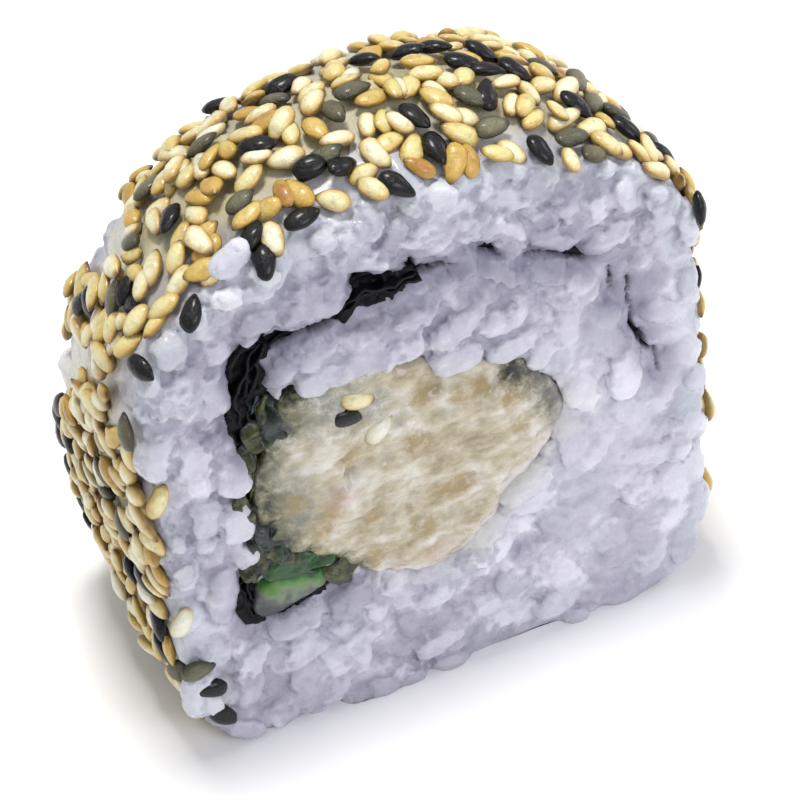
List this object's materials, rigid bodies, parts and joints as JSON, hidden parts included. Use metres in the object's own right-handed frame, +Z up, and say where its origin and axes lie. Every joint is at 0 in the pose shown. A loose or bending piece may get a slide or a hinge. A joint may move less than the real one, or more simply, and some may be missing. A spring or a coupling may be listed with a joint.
{
  "type": "inside-out sushi roll piece",
  "caption": "Piece of inside-out sushi roll: rice with mixed sesame seeds outside, a nori spiral, shredded salad filling, lettuce and cucumber at the cut faces.",
  "frame": {"origin": "middle of the bounding box in X and Y, on the flat base at Z = 0", "axes": "+X across the roll, +Y along the roll from the front cut face (at -Y) to the back one, +Z up"},
  "size_m": [0.0507, 0.0318, 0.0528],
  "materials": {
    "cooked_rice": "moist cooked sushi rice with sesame seeds",
    "nori_sheet": "damp seaweed sheet, near black",
    "shredded_salad": "wet shredded cream-coloured salad",
    "lettuce": "dark wet lettuce leaf",
    "cucumber": "fresh cut cucumber with dark green skin"
  },
  "bodies": {
    "root": {"rice": "cooked_rice", "nori": "nori_sheet", "filling": "shredded_salad", "lettuce_leaf": "lettuce", "cucumber_strip": "cucumber"}
  },
  "joints": []
}
